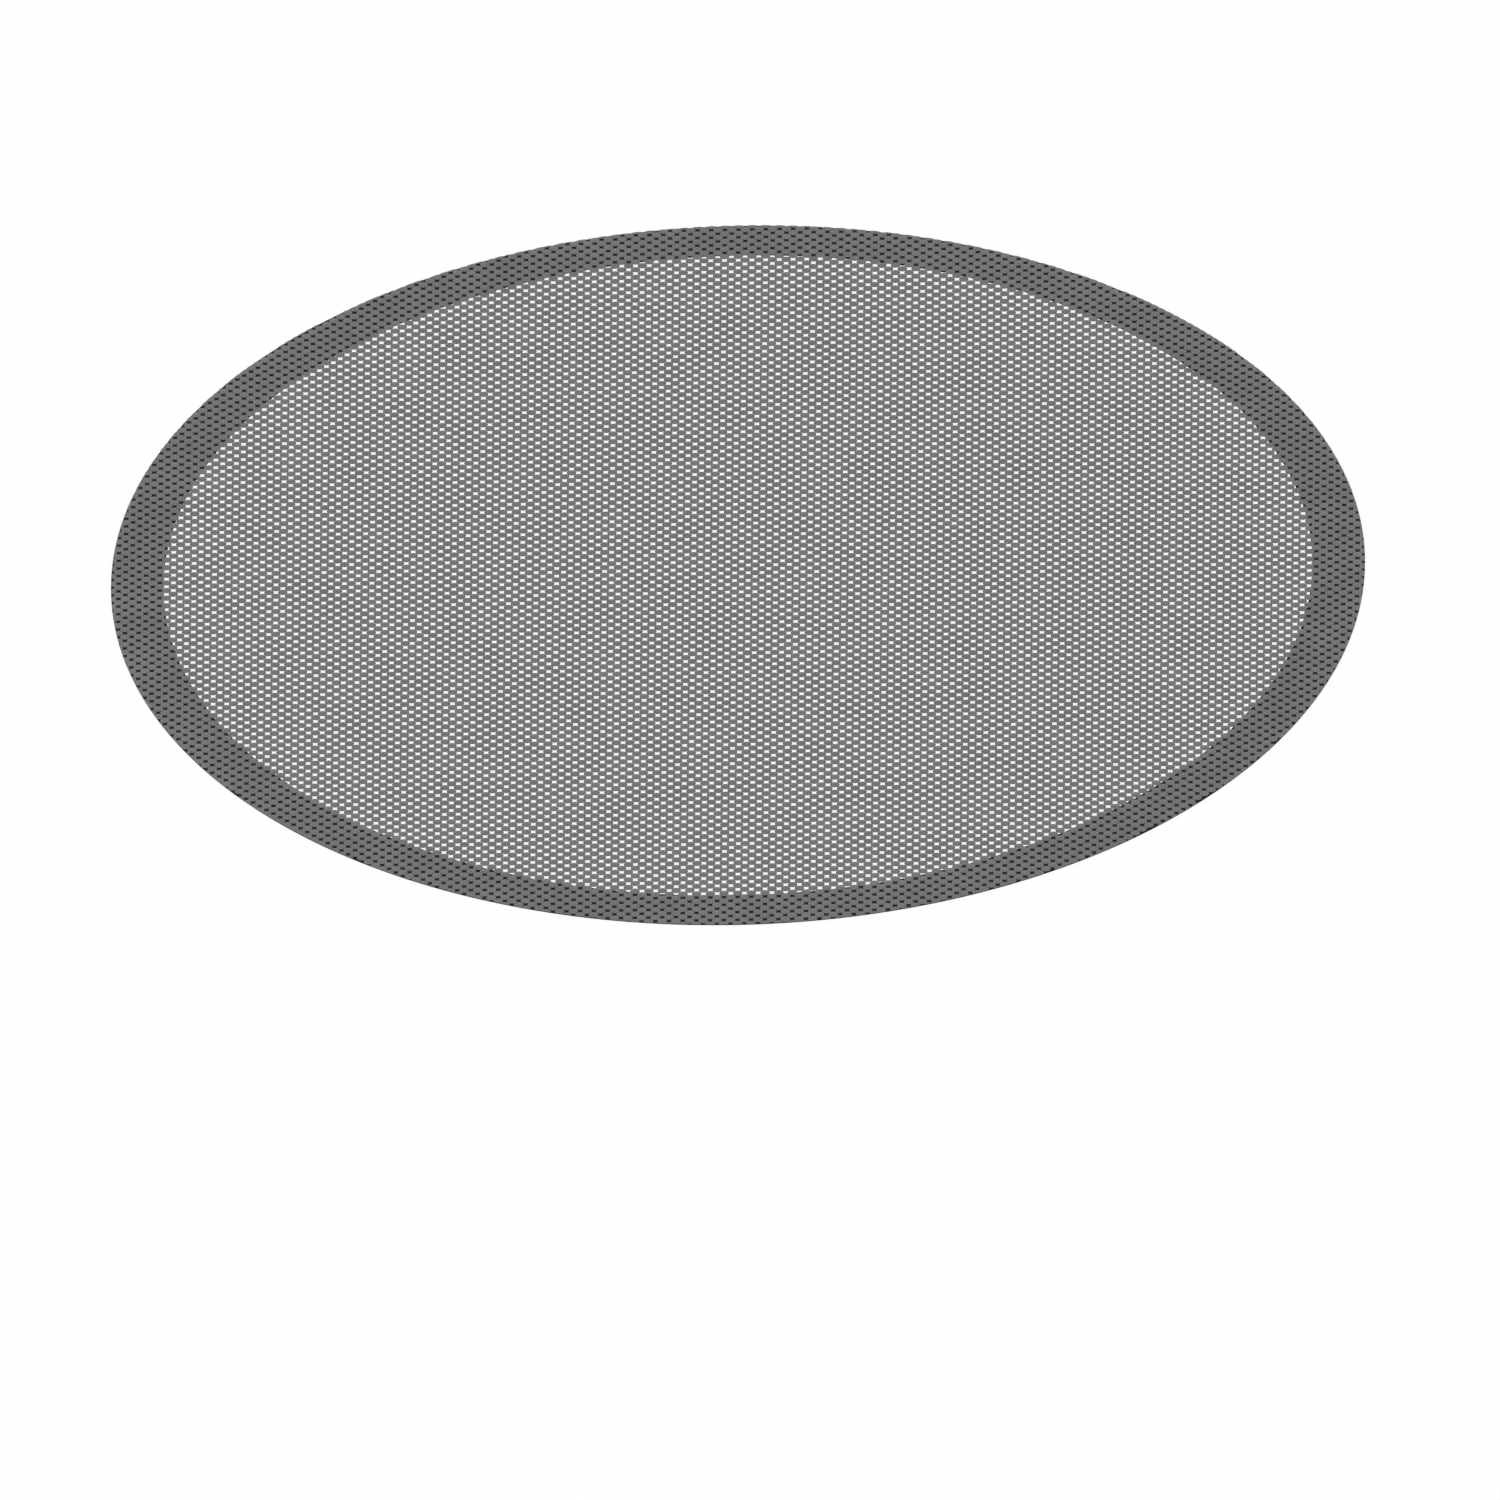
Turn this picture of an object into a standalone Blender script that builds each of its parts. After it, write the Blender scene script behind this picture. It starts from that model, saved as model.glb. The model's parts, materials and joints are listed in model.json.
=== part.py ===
"""A round stick-on dust filter, in metres, +Z up.

A grey plastic mesh disc is bonded over a thin black ring, and the ring has a
film of adhesive below it that the filter sticks with. The filter lies flat,
adhesive down, with its origin at the middle of its underside.
"""

import math

import bmesh
import bpy

# Overall size, and the layers from the bottom up.
OUTER_DIAMETER = 0.150
RING_WIDTH = 0.0063
ADHESIVE_THICKNESS = 0.00008
ADHESIVE_INSET = 0.0003
RING_THICKNESS = 0.00008
BOND_THICKNESS = 0.00002
WEB_THICKNESS = 0.00010

# The mesh is rows of round knots joined by necks, with a gap between each four knots.
# The knots of the real mesh are 1.16 mm apart. These are ten times as far, and their
# gaps open as much in all as the real ones do.
KNOT_PITCH = 0.0112
KNOT_CLEARANCE = 0.0003
NECK_WIDTH = 0.0025
STRAND_ANGLE = math.radians(45)

# Ridges run along the rows both ways, highest at the knots and lower at the necks.
KNOT_RISE = 0.00010
NECK_RISE = 0.00005

# How far the gaps stay inside the ring, and the ridges inside the rim.
GAP_TO_RING = 0.0005
RIDGE_TO_RIM = 0.0005

ROUND_STEPS = 120
ARC_STEPS = 3

OUTER_RADIUS = OUTER_DIAMETER / 2
INNER_RADIUS = OUTER_RADIUS - RING_WIDTH
RING_BOTTOM = ADHESIVE_THICKNESS + BOND_THICKNESS
SCREEN_BOTTOM = RING_BOTTOM + RING_THICKNESS + BOND_THICKNESS
WEB_TOP = SCREEN_BOTTOM + WEB_THICKNESS
KNOT_RADIUS = (KNOT_PITCH - KNOT_CLEARANCE) / 2


def clear_scene():
    for old in list(bpy.data.objects):
        bpy.data.objects.remove(old)


def material(name, colour, roughness):
    made = bpy.data.materials.new(name)
    made.use_nodes = True
    shader = made.node_tree.nodes["Principled BSDF"]
    shader.inputs["Base Color"].default_value = (*colour, 1.0)
    shader.inputs["Roughness"].default_value = roughness
    shader.inputs["Metallic"].default_value = 0.0
    return made


def add_object(name, shape, finish):
    bmesh.ops.recalc_face_normals(shape, faces=shape.faces[:])
    mesh = bpy.data.meshes.new(name)
    shape.to_mesh(mesh)
    shape.free()
    mesh.materials.append(finish)
    made = bpy.data.objects.new(name, mesh)
    bpy.context.scene.collection.objects.link(made)
    return made


def circle(radius):
    """The points of a round outline about the origin."""
    turn = math.tau / ROUND_STEPS
    return [(radius * math.cos(i * turn), radius * math.sin(i * turn)) for i in range(ROUND_STEPS)]


def add_wall(shape, outline, low, high):
    """An upright wall along a closed outline; gives its lower and upper corners."""
    lower = [shape.verts.new((x, y, low)) for x, y in outline]
    upper = [shape.verts.new((x, y, high)) for x, y in outline]
    for i in range(len(outline)):
        shape.faces.new((lower[i - 1], lower[i], upper[i], upper[i - 1]))
    return lower, upper


def fill_between(shape, *loops):
    """A flat face bounded by closed loops of corners: the outermost, and the holes in it."""
    edges = [shape.edges.get((loop[i - 1], loop[i])) for loop in loops for i in range(len(loop))]
    bmesh.ops.triangle_fill(shape, use_beauty=True, edges=edges)


def flat_ring(outer_radius, inner_radius, low, high):
    ring = bmesh.new()
    outer_low, outer_high = add_wall(ring, circle(outer_radius), low, high)
    inner_low, inner_high = add_wall(ring, circle(inner_radius), low, high)
    for i in range(ROUND_STEPS):
        ring.faces.new((outer_low[i - 1], outer_low[i], inner_low[i], inner_low[i - 1]))
        ring.faces.new((outer_high[i - 1], outer_high[i], inner_high[i], inner_high[i - 1]))
    return ring


def place(a, b):
    """A point counted in half pitches along the two directions of the strands, as x and y."""
    u, v = a * KNOT_PITCH / 2, b * KNOT_PITCH / 2
    c, s = math.cos(STRAND_ANGLE), math.sin(STRAND_ANGLE)
    return u * c - v * s, u * s + v * c


def arc_round_knot(a, b, quarter):
    """The side that a cell's gap has in common with one of its four knots, from neck to neck."""
    diagonal = math.radians(90 * quarter + 45)
    x, y = place(a + math.sqrt(2) * math.cos(diagonal), b + math.sqrt(2) * math.sin(diagonal))
    neck_turn = math.asin(NECK_WIDTH / 2 / KNOT_RADIUS)
    first = diagonal + STRAND_ANGLE + math.radians(225) - neck_turn
    sweep = 2 * neck_turn - math.radians(90)
    angles = [first + sweep * step / ARC_STEPS for step in range(ARC_STEPS + 1)]
    return [(x + KNOT_RADIUS * math.cos(angle), y + KNOT_RADIUS * math.sin(angle)) for angle in angles]


def gap_outline(a, b):
    """The gap in the middle of one cell: four hollow sides, blunt where they meet at the necks."""
    return [point for quarter in range(4) for point in arc_round_knot(a, b, quarter)]


def cells_of_mesh():
    """The cells that fit inside the rim, by the middle of each, with True where the gap is open."""
    cells = {}
    reach = 2 * int(OUTER_RADIUS / KNOT_PITCH) + 3
    for a in range(-reach, reach + 1, 2):
        for b in range(-reach, reach + 1, 2):
            corner = math.hypot(*place(abs(a) + 1, abs(b) + 1))
            gap_end = max(math.hypot(x, y) for x, y in gap_outline(a, b))
            if corner < OUTER_RADIUS - RIDGE_TO_RIM:
                cells[a, b] = gap_end < INNER_RADIUS - GAP_TO_RING
    return cells


def ridge_rise(a, b, cells):
    """How far a knot or a neck stands above the web: not at all on the edge of the cells."""
    if a % 2 == 0 and b % 2 == 0:
        around = [(a - 1, b - 1), (a - 1, b + 1), (a + 1, b - 1), (a + 1, b + 1)]
        rise = KNOT_RISE
    else:
        around = [(a, b - 1), (a, b + 1)] if b % 2 == 0 else [(a - 1, b), (a + 1, b)]
        rise = NECK_RISE
    return rise if all(cell in cells for cell in around) else 0.0


def add_open_cell(screen, gap, necks, knots):
    """The top of a cell with a gap: it slopes from the ridges round it down to the gap."""
    side = ARC_STEPS + 1
    for quarter in range(4):
        arc = gap[quarter * side:(quarter + 1) * side]
        neck, next_neck, knot = necks[quarter], necks[quarter - 3], knots[quarter]
        screen.faces.new((neck, arc[0], gap[quarter * side - 1]))
        screen.faces.new((neck, knot, arc[0]))
        screen.faces.new((knot, next_neck, arc[-1]))
        for first, second in zip(arc, arc[1:]):
            screen.faces.new((knot, second, first))


def add_closed_cell(screen, middle, necks, knots):
    """The top of a cell over the ring: it dips from the ridges round it to its middle."""
    for quarter in range(4):
        screen.faces.new((middle, necks[quarter], knots[quarter]))
        screen.faces.new((middle, knots[quarter], necks[quarter - 3]))


def add_mesh_screen():
    screen = bmesh.new()
    cells = cells_of_mesh()
    rim_low, rim_high = add_wall(screen, circle(OUTER_RADIUS), SCREEN_BOTTOM, WEB_TOP)
    gaps = {
        cell: add_wall(screen, gap_outline(*cell), SCREEN_BOTTOM, WEB_TOP)
        for cell, is_open in cells.items() if is_open
    }
    fill_between(screen, rim_low, *(low for low, high in gaps.values()))

    crest = {}
    around = ((1, 0), (1, 1), (0, 1), (-1, 1), (-1, 0), (-1, -1), (0, -1), (1, -1))
    for a, b in cells:
        for point in [(a + da, b + db) for da, db in around]:
            if point not in crest:
                height = WEB_TOP + ridge_rise(*point, cells)
                crest[point] = screen.verts.new((*place(*point), height))
        necks_and_knots = [crest[a + da, b + db] for da, db in around]
        necks, knots = necks_and_knots[0::2], necks_and_knots[1::2]
        if cells[a, b]:
            add_open_cell(screen, gaps[a, b][1], necks, knots)
        else:
            add_closed_cell(screen, screen.verts.new((*place(a, b), WEB_TOP)), necks, knots)

    border = [edge for edge in screen.edges if edge.is_boundary]
    bmesh.ops.triangle_fill(screen, use_beauty=True, edges=border)
    add_object("mesh_screen", screen, material("mesh_grey", (0.175, 0.175, 0.175), 0.55))


def add_border_ring():
    ring = flat_ring(OUTER_RADIUS, INNER_RADIUS, RING_BOTTOM, RING_BOTTOM + RING_THICKNESS)
    add_object("border_ring", ring, material("ring_black", (0.020, 0.0185, 0.0195), 0.6))


def add_adhesive_ring():
    outer_radius = OUTER_RADIUS - ADHESIVE_INSET
    inner_radius = INNER_RADIUS + ADHESIVE_INSET
    film = flat_ring(outer_radius, inner_radius, 0.0, ADHESIVE_THICKNESS)
    add_object("adhesive_ring", film, material("adhesive_film", (0.62, 0.60, 0.54), 0.3))


def main():
    clear_scene()
    add_adhesive_ring()
    add_border_ring()
    add_mesh_screen()


main()
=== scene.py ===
import json
import math

import bmesh
import bpy
import numpy as np
from mathutils import Matrix, Vector

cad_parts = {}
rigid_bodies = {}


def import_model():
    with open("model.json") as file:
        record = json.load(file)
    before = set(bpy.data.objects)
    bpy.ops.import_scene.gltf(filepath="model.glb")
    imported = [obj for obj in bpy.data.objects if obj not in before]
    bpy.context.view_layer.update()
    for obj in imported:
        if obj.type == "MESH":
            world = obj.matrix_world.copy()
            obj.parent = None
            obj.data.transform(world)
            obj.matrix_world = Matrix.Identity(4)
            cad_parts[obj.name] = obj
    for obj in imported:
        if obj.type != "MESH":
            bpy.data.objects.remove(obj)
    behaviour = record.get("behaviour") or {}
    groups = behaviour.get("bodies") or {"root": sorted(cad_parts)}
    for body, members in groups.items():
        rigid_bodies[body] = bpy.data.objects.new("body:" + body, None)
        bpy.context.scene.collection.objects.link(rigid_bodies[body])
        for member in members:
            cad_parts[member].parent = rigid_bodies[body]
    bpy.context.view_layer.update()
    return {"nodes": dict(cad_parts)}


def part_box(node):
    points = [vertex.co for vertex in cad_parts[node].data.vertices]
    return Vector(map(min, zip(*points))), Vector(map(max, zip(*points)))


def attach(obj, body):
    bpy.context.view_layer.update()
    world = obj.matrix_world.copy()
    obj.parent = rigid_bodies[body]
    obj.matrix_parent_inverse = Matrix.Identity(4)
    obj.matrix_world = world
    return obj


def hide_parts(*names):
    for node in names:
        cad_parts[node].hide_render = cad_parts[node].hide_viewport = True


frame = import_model()
scene = bpy.context.scene
print("frame loaded:", ", ".join(sorted(frame["nodes"])))


# Small helpers for working as by hand

def deselectAll():
    for thing in scene.objects:
        thing.select_set(False)
    bpy.context.view_layer.objects.active = None


def pickOnly(*things):
    deselectAll()
    for thing in things:
        thing.select_set(True)
    bpy.context.view_layer.objects.active = things[0]


def editMode(selectBy):
    scene.tool_settings.mesh_select_mode = (selectBy == "VERT", selectBy == "EDGE", selectBy == "FACE")
    bpy.ops.object.mode_set(mode="EDIT")


def objectMode():
    bpy.ops.object.mode_set(mode="OBJECT")


def pickCorners(wanted):
    # in edit mode: leaves only the corners picked whose place passes the test
    shape = bmesh.from_edit_mesh(bpy.context.object.data)
    for corner in shape.verts:
        corner.select = wanted(corner.co)
    shape.select_flush(True)
    shape.select_flush(False)
    bmesh.update_edit_mesh(bpy.context.object.data)


def pickFaces(mesh, wanted):
    # in object mode: leaves only these faces picked
    mesh.vertices.foreach_set("select", np.zeros(len(mesh.vertices), bool))
    mesh.edges.foreach_set("select", np.zeros(len(mesh.edges), bool))
    mesh.polygons.foreach_set("select", wanted)


def applyModifier(kind, **settings):
    bpy.ops.object.modifier_add(type=kind)
    added = bpy.context.object.modifiers[-1]
    for setting, value in settings.items():
        setattr(added, setting, value)
    bpy.ops.object.modifier_apply(modifier=added.name)


def copyOf(thing, name):
    made = thing.copy()
    made.data = thing.data.copy()
    rename(made, name)
    scene.collection.objects.link(made)
    return made


def rename(thing, name):
    thing.name = name
    thing.data.name = name


def setInPlace():
    bpy.ops.object.transform_apply(location=True, rotation=True, scale=True)


def finishPiece(piece, material, node):
    piece.data.materials.clear()
    piece.data.materials.append(material)
    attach(piece, "root")
    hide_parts(node)


def innerRadiusOf(node):
    # how near the axis the node comes
    return min(math.hypot(corner.co.x, corner.co.y) for corner in frame["nodes"][node].data.vertices)


def outerRadiusOf(node):
    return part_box(node)[1].x


# Finishes

noiseSpan = (0.3, 0.7)         # most of a noise's values lie between these


def newMaterial(name):
    made = bpy.data.materials.new(name)
    made.use_nodes = True
    return made, made.node_tree.nodes, made.node_tree.links


def addNoise(nodes, links, place, scale, detail, roughness):
    noise = nodes.new("ShaderNodeTexNoise")
    noise.inputs["Scale"].default_value = scale
    noise.inputs["Detail"].default_value = detail
    noise.inputs["Roughness"].default_value = roughness
    links.new(place, noise.inputs["Vector"])
    return noise.outputs["Fac"]


def addRamp(nodes, links, factor, low, high, span=noiseSpan):
    ramp = nodes.new("ShaderNodeValToRGB")
    for end, colour, position in zip(ramp.color_ramp.elements, (low, high), span):
        end.position = position
        end.color = (*colour, 1)
    links.new(factor, ramp.inputs["Fac"])
    return ramp.outputs["Color"]


def addRange(nodes, links, factor, low, high):
    spread = nodes.new("ShaderNodeMapRange")
    for end, level in zip(("From Min", "From Max", "To Min", "To Max"), (*noiseSpan, low, high)):
        spread.inputs[end].default_value = level
    links.new(factor, spread.inputs["Value"])
    return spread.outputs["Result"]


def addBump(nodes, links, height, strength, distance, shader):
    bump = nodes.new("ShaderNodeBump")
    bump.inputs["Strength"].default_value = strength
    bump.inputs["Distance"].default_value = distance
    links.new(height, bump.inputs["Height"])
    links.new(bump.outputs["Normal"], shader.inputs["Normal"])


def addMath(nodes, links, operation, first, *others):
    # each of the others is a socket or a number
    made = nodes.new("ShaderNodeMath")
    made.operation = operation
    links.new(first, made.inputs[0])
    for socket, other in zip(made.inputs[1:], others):
        if isinstance(other, bpy.types.NodeSocket):
            links.new(other, socket)
        else:
            socket.default_value = other
    return made.outputs[0]


def mixColours(nodes, links, factor, first, second):
    mix = nodes.new("ShaderNodeMixRGB")
    links.new(factor, mix.inputs["Fac"])
    links.new(first, mix.inputs["Color1"])
    links.new(second, mix.inputs["Color2"])
    return mix.outputs["Color"]


def beyondRadius(nodes, links, place, radius):
    # 0 nearer the axis than this radius, and 1 further out
    flat = nodes.new("ShaderNodeVectorMath")
    flat.operation = "MULTIPLY"
    flat.inputs[1].default_value = (1, 1, 0)
    links.new(place, flat.inputs[0])
    length = nodes.new("ShaderNodeVectorMath")
    length.operation = "LENGTH"
    links.new(flat.outputs[0], length.inputs[0])
    return addMath(nodes, links, "GREATER_THAN", length.outputs["Value"], radius)


meshFinish = {
    "darkGrey": (0.134, 0.134, 0.135),
    "lightGrey": (0.165, 0.165, 0.165),
    "darkOverRing": (0.141, 0.1340, 0.1375),     # a touch warmer where it is stuck to the ring
    "lightOverRing": (0.173, 0.1655, 0.169),
    "grain": (9000, 4, 0.6),   # fine grain on each knot, as a noise's scale, detail and roughness
    "patches": (160, 3, 0.5),  # slow changes over the sheet, given in the same way
    "grainShare": 0.4,         # how much of the colour's change is grain
    "patchShare": 0.6,         # and how much is patches
    "colourSpan": (0.35, 0.65),
    "knotNoise": (1, 0.5),     # makes some knots shinier than others; its scale is the knots' own
    "roughness": (0.50, 0.66),
    "specular": 0.35,
    "grainDepth": 0.000006,
    "grainStrength": 0.5,
}


def makeMeshPlastic():
    v = meshFinish
    material, nodes, links = newMaterial("greyMeshPlastic")
    shader = nodes["Principled BSDF"]
    place = nodes.new("ShaderNodeTexCoord").outputs["Object"]
    grain = addNoise(nodes, links, place, *v["grain"])
    patches = addNoise(nodes, links, place, *v["patches"])
    knots = addNoise(nodes, links, place, 1 / meshSheet["knotPitch"], *v["knotNoise"])
    slowPart = addMath(nodes, links, "MULTIPLY", patches, v["patchShare"])
    blend = addMath(nodes, links, "MULTIPLY_ADD", grain, v["grainShare"], slowPart)
    free = addRamp(nodes, links, blend, v["darkGrey"], v["lightGrey"], v["colourSpan"])
    stuck = addRamp(nodes, links, blend, v["darkOverRing"], v["lightOverRing"], v["colourSpan"])
    overRing = beyondRadius(nodes, links, place, innerRadiusOf("border_ring"))
    links.new(mixColours(nodes, links, overRing, free, stuck), shader.inputs["Base Color"])
    links.new(addRange(nodes, links, knots, *v["roughness"]), shader.inputs["Roughness"])
    shader.inputs["Specular IOR Level"].default_value = v["specular"]
    addBump(nodes, links, grain, v["grainStrength"], v["grainDepth"], shader)
    return material


ringFinish = {
    "deepBlack": (0.0060, 0.0056, 0.0059),
    "softBlack": (0.0110, 0.0101, 0.0107),
    "grain": (5000, 3, 0.55),  # scale, detail and roughness of the noise
    "patches": (220, 4, 0.5),
    "roughness": (0.52, 0.70),
    "specular": 0.12,
    "grainDepth": 0.000004,
    "grainStrength": 0.4,
}


def makeRingFilm():
    v = ringFinish
    material, nodes, links = newMaterial("mattBlackFilm")
    shader = nodes["Principled BSDF"]
    place = nodes.new("ShaderNodeTexCoord").outputs["Object"]
    grain = addNoise(nodes, links, place, *v["grain"])
    patches = addNoise(nodes, links, place, *v["patches"])
    links.new(addRamp(nodes, links, patches, v["deepBlack"], v["softBlack"]), shader.inputs["Base Color"])
    links.new(addRange(nodes, links, grain, *v["roughness"]), shader.inputs["Roughness"])
    shader.inputs["Specular IOR Level"].default_value = v["specular"]
    addBump(nodes, links, grain, v["grainStrength"], v["grainDepth"], shader)
    return material


filmFinish = {
    "paleFilm": (0.62, 0.60, 0.53),
    "clearFilm": (0.72, 0.70, 0.64),
    "clouds": (420, 4, 0.6),   # scale, detail and roughness of the noise
    "ripples": (1500, 2, 0.5),
    "roughness": (0.16, 0.34),
    "rippleDepth": 0.00001,
    "rippleStrength": 0.6,
}


def makeAdhesive():
    v = filmFinish
    material, nodes, links = newMaterial("paleAdhesive")
    shader = nodes["Principled BSDF"]
    place = nodes.new("ShaderNodeTexCoord").outputs["Object"]
    clouds = addNoise(nodes, links, place, *v["clouds"])
    ripples = addNoise(nodes, links, place, *v["ripples"])
    links.new(addRamp(nodes, links, clouds, v["paleFilm"], v["clearFilm"]), shader.inputs["Base Color"])
    links.new(addRange(nodes, links, ripples, *v["roughness"]), shader.inputs["Roughness"])
    addBump(nodes, links, ripples, v["rippleStrength"], v["rippleDepth"], shader)
    return material


# The mesh: one knot is modelled, rows of it are laid out in bands, and the rim is cut round

sheetLow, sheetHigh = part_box("mesh_screen")

meshSheet = {
    "knotPitch": 0.0011575,    # from knot to knot along a row
    "knotRadius": 0.000583,
    "neckWidth": 0.00018,
    "knotSides": 20,           # a multiple of four, with a flat side towards each neighbour
    "edgeHeight": 0.00004,     # from the sheet's underside up to the thin edge round each hole
    "neckRise": 0.00006,       # from that edge up to the crest of a neck
    "domeRadius": 0.00032,     # where a knot's side turns into its rounded top
    "domeRise": 0.00012,
    "domeSides": 8,
    "rowTurn": 45,             # degrees from X to the rows
    "firstKnot": 0.5,          # pitches from the disc's middle to the nearest knot of the middle row
    "bands": 6,
    "rowsInBand": 22,          # enough that the bands together are wider than the disc
    "weldGap": 0.000005,       # corners nearer each other than this become one
    "rimSides": 380,           # a multiple of four, not of eight, so no corner meets the middle of a row
    "cutterDepth": 8,          # in knot heights, well over one
    "pressedWidth": 0.00025,   # the cut edge is pressed flatter over this width
    "pressedHeight": 0.35,     # to this share of its height
    "crumbWidth": 0.00025,     # parts that the cut leaves loose are narrower than this, and fall away
    "shadeAngle": 40,          # degrees; sharper edges stay sharp
}
outerRadius = sheetHigh.x
edgeLevel = sheetLow.z + meshSheet["edgeHeight"]
knotRise = sheetHigh.z - edgeLevel


def makeKnot():
    # its origin is at the height of the thin edge
    v = meshSheet
    deselectAll()
    sideTurn = math.pi / v["knotSides"]
    bpy.ops.mesh.primitive_circle_add(
        vertices=v["knotSides"], radius=v["knotRadius"], rotation=(0, 0, sideTurn)
    )
    knot = bpy.context.object
    rename(knot, "knot")
    setInPlace()
    reach = v["knotRadius"] * math.cos(sideTurn)
    halfSide = v["knotRadius"] * math.sin(sideTurn)
    edgeOfCell = v["knotPitch"] / 2
    widen = v["neckWidth"] / 2 / halfSide
    near = v["knotPitch"] / 1000     # far less than any edge is long
    editMode("VERT")
    # the flat side towards each neighbour is drawn out to half a neck, and its crest is lifted
    for out in (Vector((1, 0, 0)), Vector((0, 1, 0)), Vector((-1, 0, 0)), Vector((0, -1, 0))):
        pickCorners(lambda place: place.dot(out) > reach - near)
        bpy.ops.transform.translate(value=out * (edgeOfCell - reach))
        across = (1, widen, 1) if out.x else (widen, 1, 1)
        bpy.ops.transform.resize(value=across, center_override=out * edgeOfCell)
        bpy.ops.mesh.subdivide(number_cuts=1)
        pickCorners(lambda place: (place - out * edgeOfCell).length < near)
        bpy.ops.transform.translate(value=(0, 0, v["neckRise"]))
    # the rounded top, and the sides up to it
    bpy.ops.mesh.primitive_circle_add(
        vertices=v["domeSides"], radius=v["domeRadius"], fill_type="TRIFAN",
        location=(0, 0, v["domeRise"]), rotation=(0, 0, math.pi / v["domeSides"]),
    )
    pickCorners(lambda place: place.xy.length > near)
    bpy.ops.mesh.bridge_edge_loops()
    pickCorners(lambda place: place.xy.length < near)
    bpy.ops.transform.translate(value=(0, 0, knotRise - v["domeRise"]))
    objectMode()
    applyModifier("MIRROR", use_axis=(False, False, True), merge_threshold=v["weldGap"])
    editMode("VERT")
    # the underside is plain and nearly flat
    pickCorners(lambda place: place.z < -near and place.xy.length < v["domeRadius"] + near)
    bpy.ops.mesh.merge(type="CENTER")
    pickCorners(lambda place: place.z < -near)
    bpy.ops.transform.resize(value=(1, 1, 0), center_override=(0, 0, -v["edgeHeight"]))
    bpy.ops.mesh.select_all(action="SELECT")
    bpy.ops.mesh.quads_convert_to_tris()
    bpy.ops.mesh.normals_make_consistent(inside=False)
    objectMode()
    return knot


def layRows(knot, name, firstRow):
    # a rectangle of knots a little longer than the disc is wide
    v = meshSheet
    pitch = v["knotPitch"]
    knotsInRow = 2 * math.ceil(outerRadius / pitch) + 2
    rows = copyOf(knot, name)
    rows.location = ((v["firstKnot"] - knotsInRow / 2) * pitch, firstRow * pitch, 0)
    pickOnly(rows)
    setInPlace()
    for number, step in ((knotsInRow, (pitch, 0, 0)), (v["rowsInBand"], (0, pitch, 0))):
        applyModifier(
            "ARRAY", count=number, use_relative_offset=False, use_constant_offset=True,
            constant_offset_displace=step, use_merge_vertices=True, merge_threshold=v["weldGap"],
        )
    return rows


def knotOfFaces(mesh):
    # how many pitches each face's own knot lies from the disc's middle, along the rows and across them
    v = meshSheet
    centres = np.empty(len(mesh.polygons) * 3)
    mesh.polygons.foreach_get("center", centres)
    along, across, _ = centres.reshape(-1, 3).T / v["knotPitch"]
    along = np.abs(np.floor(along - v["firstKnot"] + 0.5) + v["firstKnot"])
    across = np.abs(np.round(across))
    return along, across


def keepFaces(piece, keep):
    # deletes the others, and stays in edit mode
    pickOnly(piece)
    pickFaces(piece.data, ~keep)
    editMode("FACE")
    bpy.ops.mesh.delete(type="FACE")


def closeNecks():
    # a neck that is cut through leaves a hole with four sides
    bpy.ops.mesh.select_all(action="SELECT")
    bpy.ops.mesh.fill_holes(sides=4)


def splitAtRim(rows):
    # leaves the knots that lie wholly inside the disc, and returns those that its edge cuts
    along, across = knotOfFaces(rows.data)
    radius = outerRadius / meshSheet["knotPitch"]
    whole = np.hypot(along + 0.5, across + 0.5) < radius
    touched = np.hypot(np.maximum(along - 0.5, 0), np.maximum(across - 0.5, 0)) < radius
    rim = copyOf(rows, "rimPart")
    keepFaces(rows, whole)
    closeNecks()
    objectMode()
    keepFaces(rim, touched & ~whole)
    objectMode()
    return rim


def makeRim(parts):
    v = meshSheet
    pickOnly(*parts)
    bpy.ops.object.join()
    rim = bpy.context.object
    rename(rim, "mesh_rim")
    editMode("VERT")
    bpy.ops.mesh.select_all(action="SELECT")
    bpy.ops.mesh.remove_doubles(threshold=v["weldGap"])
    closeNecks()
    objectMode()
    deselectAll()
    bpy.ops.mesh.primitive_cylinder_add(
        vertices=v["rimSides"], radius=outerRadius, depth=v["cutterDepth"] * knotRise,
        rotation=(0, 0, math.radians(-v["rowTurn"])),
    )
    cutter = bpy.context.object
    setInPlace()
    pickOnly(rim)
    applyModifier("BOOLEAN", operation="INTERSECT", solver="EXACT", object=cutter)
    bpy.data.objects.remove(cutter)
    editMode("VERT")
    # what doesn't reach in past a crumb's width is loose
    pickCorners(lambda place: place.xy.length < outerRadius - v["crumbWidth"])
    bpy.ops.mesh.select_linked()
    bpy.ops.mesh.select_all(action="INVERT")
    bpy.ops.mesh.delete(type="VERT")
    pickCorners(lambda place: place.xy.length > outerRadius - v["pressedWidth"])
    bpy.ops.transform.resize(value=(1, 1, v["pressedHeight"]), center_override=(0, 0, -v["edgeHeight"]))
    objectMode()
    return rim


def makeMeshSheet():
    # the rows lie along X, with row 0 through the disc's middle, until the finished pieces are turned
    v = meshSheet
    knot = makeKnot()
    firstRow = 1 - v["bands"] * v["rowsInBand"] // 2
    bands, rims = [], []
    for count in range(v["bands"]):
        band = layRows(knot, "mesh_band_%d" % (count + 1), firstRow + count * v["rowsInBand"])
        rims.append(splitAtRim(band))
        bands.append(band)
    bpy.data.objects.remove(knot)
    pieces = [*bands, makeRim(rims)]
    for piece in pieces:
        pickOnly(piece)
        piece.rotation_euler.z = math.radians(v["rowTurn"])
        piece.location.z = edgeLevel
        setInPlace()
        bpy.ops.object.shade_smooth_by_angle(angle=math.radians(v["shadeAngle"]))
    return pieces


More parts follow.
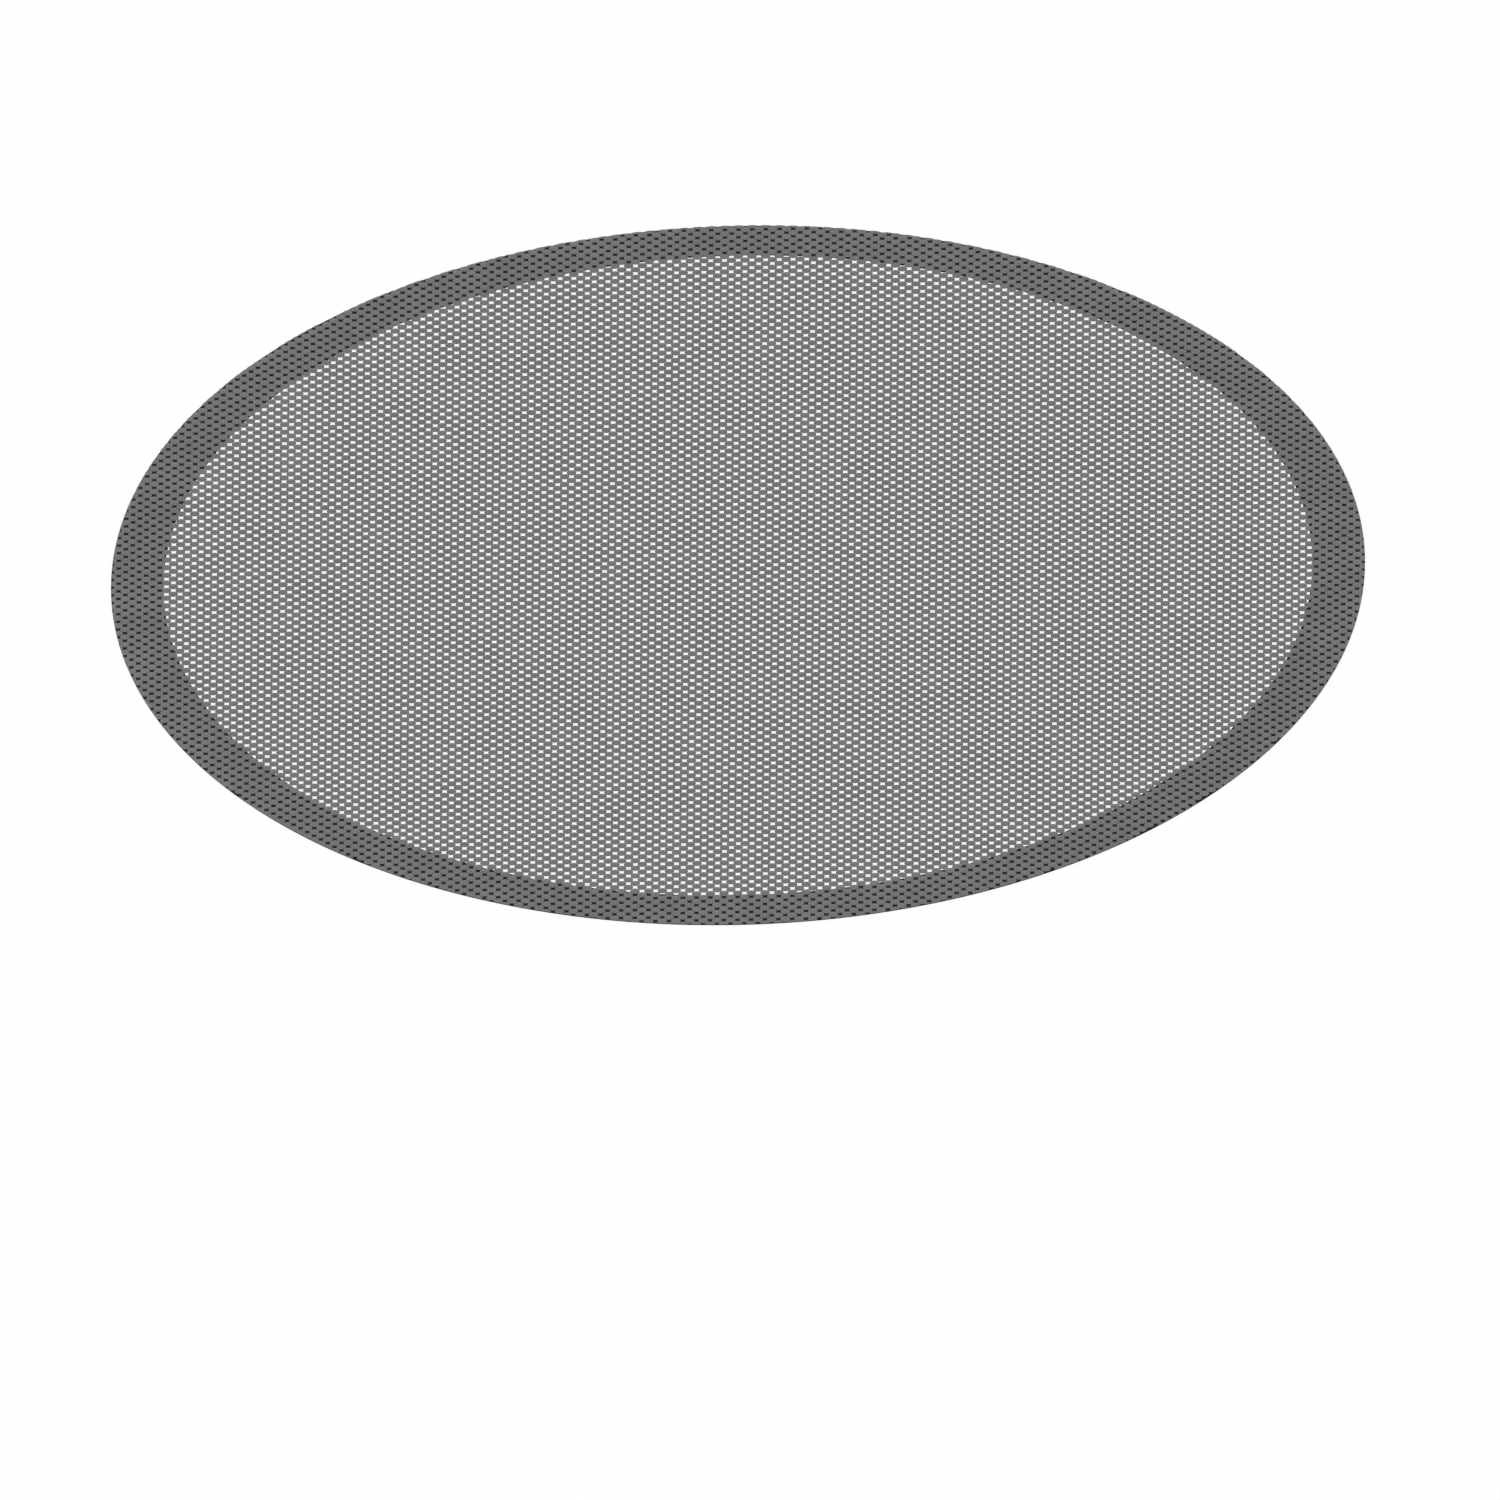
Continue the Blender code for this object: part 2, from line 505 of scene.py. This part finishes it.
meshPlastic = makeMeshPlastic()
for piece in makeMeshSheet():
    finishPiece(piece, meshPlastic, "mesh_screen")
    print(piece.name, "made:", len(piece.data.polygons), "faces")


# The black ring and its adhesive

blackRing = {
    "sides": 360,
    "cutEdge": 0.00003,        # how far its cut edges are rounded
    "edgeSteps": 2,
    "shadeAngle": 35,
}

adhesiveFilm = {
    "sides": 360,
    "cutEdge": 0.00002,
    "edgeSteps": 2,
    "shadeAngle": 35,
}


def makeFlatRing(name, node, v):
    low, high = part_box(node)
    outer = outerRadiusOf(node)
    deselectAll()
    bpy.ops.mesh.primitive_circle_add(
        vertices=v["sides"], radius=outer, fill_type="NGON", location=(0, 0, low.z)
    )
    ring = bpy.context.object
    rename(ring, name)
    setInPlace()
    editMode("FACE")
    bpy.ops.mesh.select_all(action="SELECT")
    bpy.ops.mesh.inset(thickness=outer - innerRadiusOf(node))
    bpy.ops.mesh.delete(type="FACE")
    objectMode()
    applyModifier("SOLIDIFY", thickness=high.z - low.z, offset=1)
    applyModifier("BEVEL", width=v["cutEdge"], segments=v["edgeSteps"], limit_method="ANGLE")
    bpy.ops.object.shade_smooth_by_angle(angle=math.radians(v["shadeAngle"]))
    return ring


borderRing = makeFlatRing("black_ring", "border_ring", blackRing)
finishPiece(borderRing, makeRingFilm(), "border_ring")
print("black ring made")

adhesiveRing = makeFlatRing("adhesive_film", "adhesive_ring", adhesiveFilm)
finishPiece(adhesiveRing, makeAdhesive(), "adhesive_ring")
print("adhesive made")


# Floor, light and camera

floorLook = {
    "size": 4.0,
    "colour": (0.92, 0.92, 0.92),
    "roughness": 0.9,
    "seenWhite": 0.94,         # how much of what the camera sees is plain white
}


def whenSeenDirectly(nodes, links):
    # 1 for camera, glossy and see-through rays, and 0 for the light that falls on the object
    path = nodes.new("ShaderNodeLightPath")
    total = path.outputs["Is Camera Ray"]
    for kind in ("Is Glossy Ray", "Is Transmission Ray"):
        total = addMath(nodes, links, "MAXIMUM", total, path.outputs[kind])
    return total


def makeFloor():
    v = floorLook
    deselectAll()
    bpy.ops.mesh.primitive_plane_add(size=v["size"])
    floor = bpy.context.object
    rename(floor, "floor")
    material, nodes, links = newMaterial("paleFloor")
    shader = nodes["Principled BSDF"]
    shader.inputs["Base Color"].default_value = (*v["colour"], 1)
    shader.inputs["Roughness"].default_value = v["roughness"]
    glow = nodes.new("ShaderNodeEmission")
    mix = nodes.new("ShaderNodeMixShader")
    share = addMath(nodes, links, "MULTIPLY", whenSeenDirectly(nodes, links), v["seenWhite"])
    links.new(share, mix.inputs["Fac"])
    links.new(shader.outputs[0], mix.inputs[1])
    links.new(glow.outputs[0], mix.inputs[2])
    links.new(mix.outputs[0], nodes["Material Output"].inputs["Surface"])
    floor.data.materials.append(material)


studio = {
    "worldLevel": 0.62,        # the light that falls on the object from all round
    "worldSeen": 1.0,          # plain white where the world itself is seen
    "lamps": (
        # name, place, size, watts
        ("keyLamp", (-0.55, -0.35, 0.95), 0.7, 4.2),
        ("fillLamp", (0.70, 0.30, 0.80), 0.8, 1.8),
    ),
}


def makeWorld():
    world = bpy.data.worlds.new("studioWorld")
    scene.world = world
    world.use_nodes = True
    nodes, links = world.node_tree.nodes, world.node_tree.links
    level = nodes.new("ShaderNodeMapRange")
    level.inputs["To Min"].default_value = studio["worldLevel"]
    level.inputs["To Max"].default_value = studio["worldSeen"]
    links.new(whenSeenDirectly(nodes, links), level.inputs["Value"])
    nodes["Background"].inputs["Color"].default_value = (1, 1, 1, 1)
    links.new(level.outputs["Result"], nodes["Background"].inputs["Strength"])


def makeLamps():
    for name, place, size, watts in studio["lamps"]:
        lamp = bpy.data.lights.new(name, "AREA")
        lamp.shape = "DISK"
        lamp.size = size
        lamp.energy = watts
        holder = bpy.data.objects.new(name, lamp)
        scene.collection.objects.link(holder)
        holder.location = place
        holder.rotation_euler = Vector(place).to_track_quat("Z", "Y").to_euler()


photoView = {
    "azimuth": 1.35,           # degrees round from the front
    "elevation": 33.83,        # degrees above the disc
    "roll": 1.76,              # degrees that the far side leans over to the left
    "photoPixels": 1500,       # across the whole picture
    "discMiddle": (737.99, 574.79),    # pixels to the right and down
    "discHalfWidth": 627.31,   # pixels
    "distance": 0.6,           # metres from the disc to the camera
    "clipStart": 0.01,
}


def makeCamera():
    v = photoView
    azimuth, elevation, roll = (math.radians(v[turn]) for turn in ("azimuth", "elevation", "roll"))
    back = Vector((
        math.sin(azimuth) * math.cos(elevation),
        -math.cos(azimuth) * math.cos(elevation),
        math.sin(elevation),
    ))
    level = Vector((math.cos(azimuth), math.sin(azimuth), 0))
    upright = back.cross(level)
    right = level * math.cos(roll) - upright * math.sin(roll)
    up = level * math.sin(roll) + upright * math.cos(roll)
    metresPerPixel = outerRadius / v["discHalfWidth"]
    middle = v["photoPixels"] / 2
    toRight = (middle - v["discMiddle"][0]) * metresPerPixel
    toUp = (v["discMiddle"][1] - middle) * metresPerPixel
    camera = bpy.data.objects.new("photoCamera", bpy.data.cameras.new("photoCamera"))
    scene.collection.objects.link(camera)
    camera.data.type = "ORTHO"
    camera.data.ortho_scale = v["photoPixels"] * metresPerPixel
    camera.data.clip_start = v["clipStart"]
    place = Vector((0, 0, edgeLevel)) + right * toRight + up * toUp + back * v["distance"]
    camera.matrix_world = Matrix.Translation(place) @ Matrix((right, up, back)).transposed().to_4x4()
    scene.camera = camera


makeFloor()
makeWorld()
makeLamps()
makeCamera()
scene.view_settings.view_transform = "Standard"
deselectAll()
print("floor, light and camera made")
